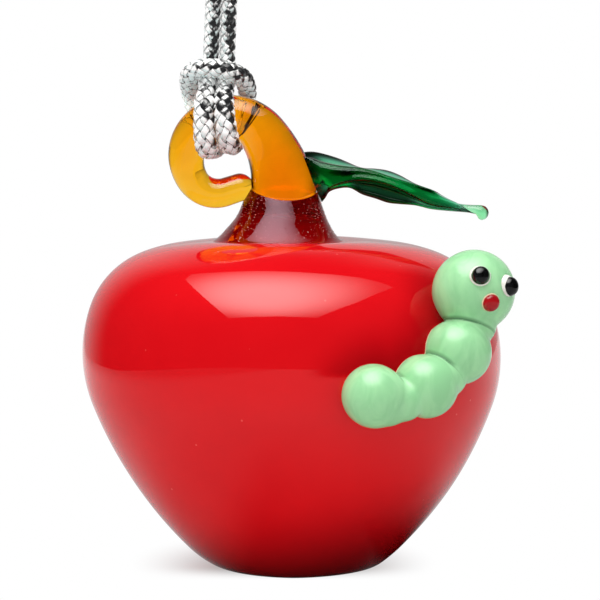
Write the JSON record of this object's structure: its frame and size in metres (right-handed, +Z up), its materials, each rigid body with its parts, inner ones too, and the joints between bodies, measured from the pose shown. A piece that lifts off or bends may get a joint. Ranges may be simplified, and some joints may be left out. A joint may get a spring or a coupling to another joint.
{
  "type": "glass apple ornament",
  "caption": "Hollow blown glass apple with an amber hook stem, a folded leaf and an opal worm on its cheek, hung by a knotted braided cord loop.",
  "frame": {"origin": "middle of the apple's flat base", "axes": "+Z up the apple's axis, -Y towards the front that the worm looks out to, +X towards the leaf"},
  "size_m": [0.0582, 0.0606, 0.095],
  "materials": {
    "red_glass": "polished clear red glass over an opaque bubble",
    "red_opaque_glass": "opaque red glass, sealed inside",
    "dark_red_glass": "thick clear dark red glass with fine seeds",
    "amber_glass": "clear amber glass, fire polished",
    "green_glass": "clear deep green glass with pressed folds",
    "mint_opal_glass": "opaque mint opal glass with faint streaks",
    "white_glass": "opaque white glass",
    "black_glass": "opaque black glass",
    "nose_glass": "opaque red glass",
    "silver_cord": "braided metallic silver yarn"
  },
  "bodies": {
    "ornament": {"apple_casing": "red_glass", "apple_core": "red_opaque_glass", "stem_neck": "dark_red_glass", "stem_hook": "amber_glass", "leaf": "green_glass", "worm_tail": "mint_opal_glass", "worm_rear_segment": "mint_opal_glass", "worm_front_segment": "mint_opal_glass", "worm_head": "mint_opal_glass", "left_eye_white": "white_glass", "left_pupil": "black_glass", "right_eye_white": "white_glass", "right_pupil": "black_glass", "nose_dot": "nose_glass", "cord_hitch": "silver_cord"},
    "hanging_loop": {"cord_left_leg": "silver_cord", "cord_right_leg": "silver_cord", "cord_knot": "silver_cord"}
  },
  "joints": [
    {"name": "loop_swing", "type": "hinge", "parent": "ornament", "child": "hanging_loop", "pos_m": [-0.0097, -0.0004, 0.07043], "axis": [1, 0, 0], "range_deg": [-90, 90]}
  ]
}
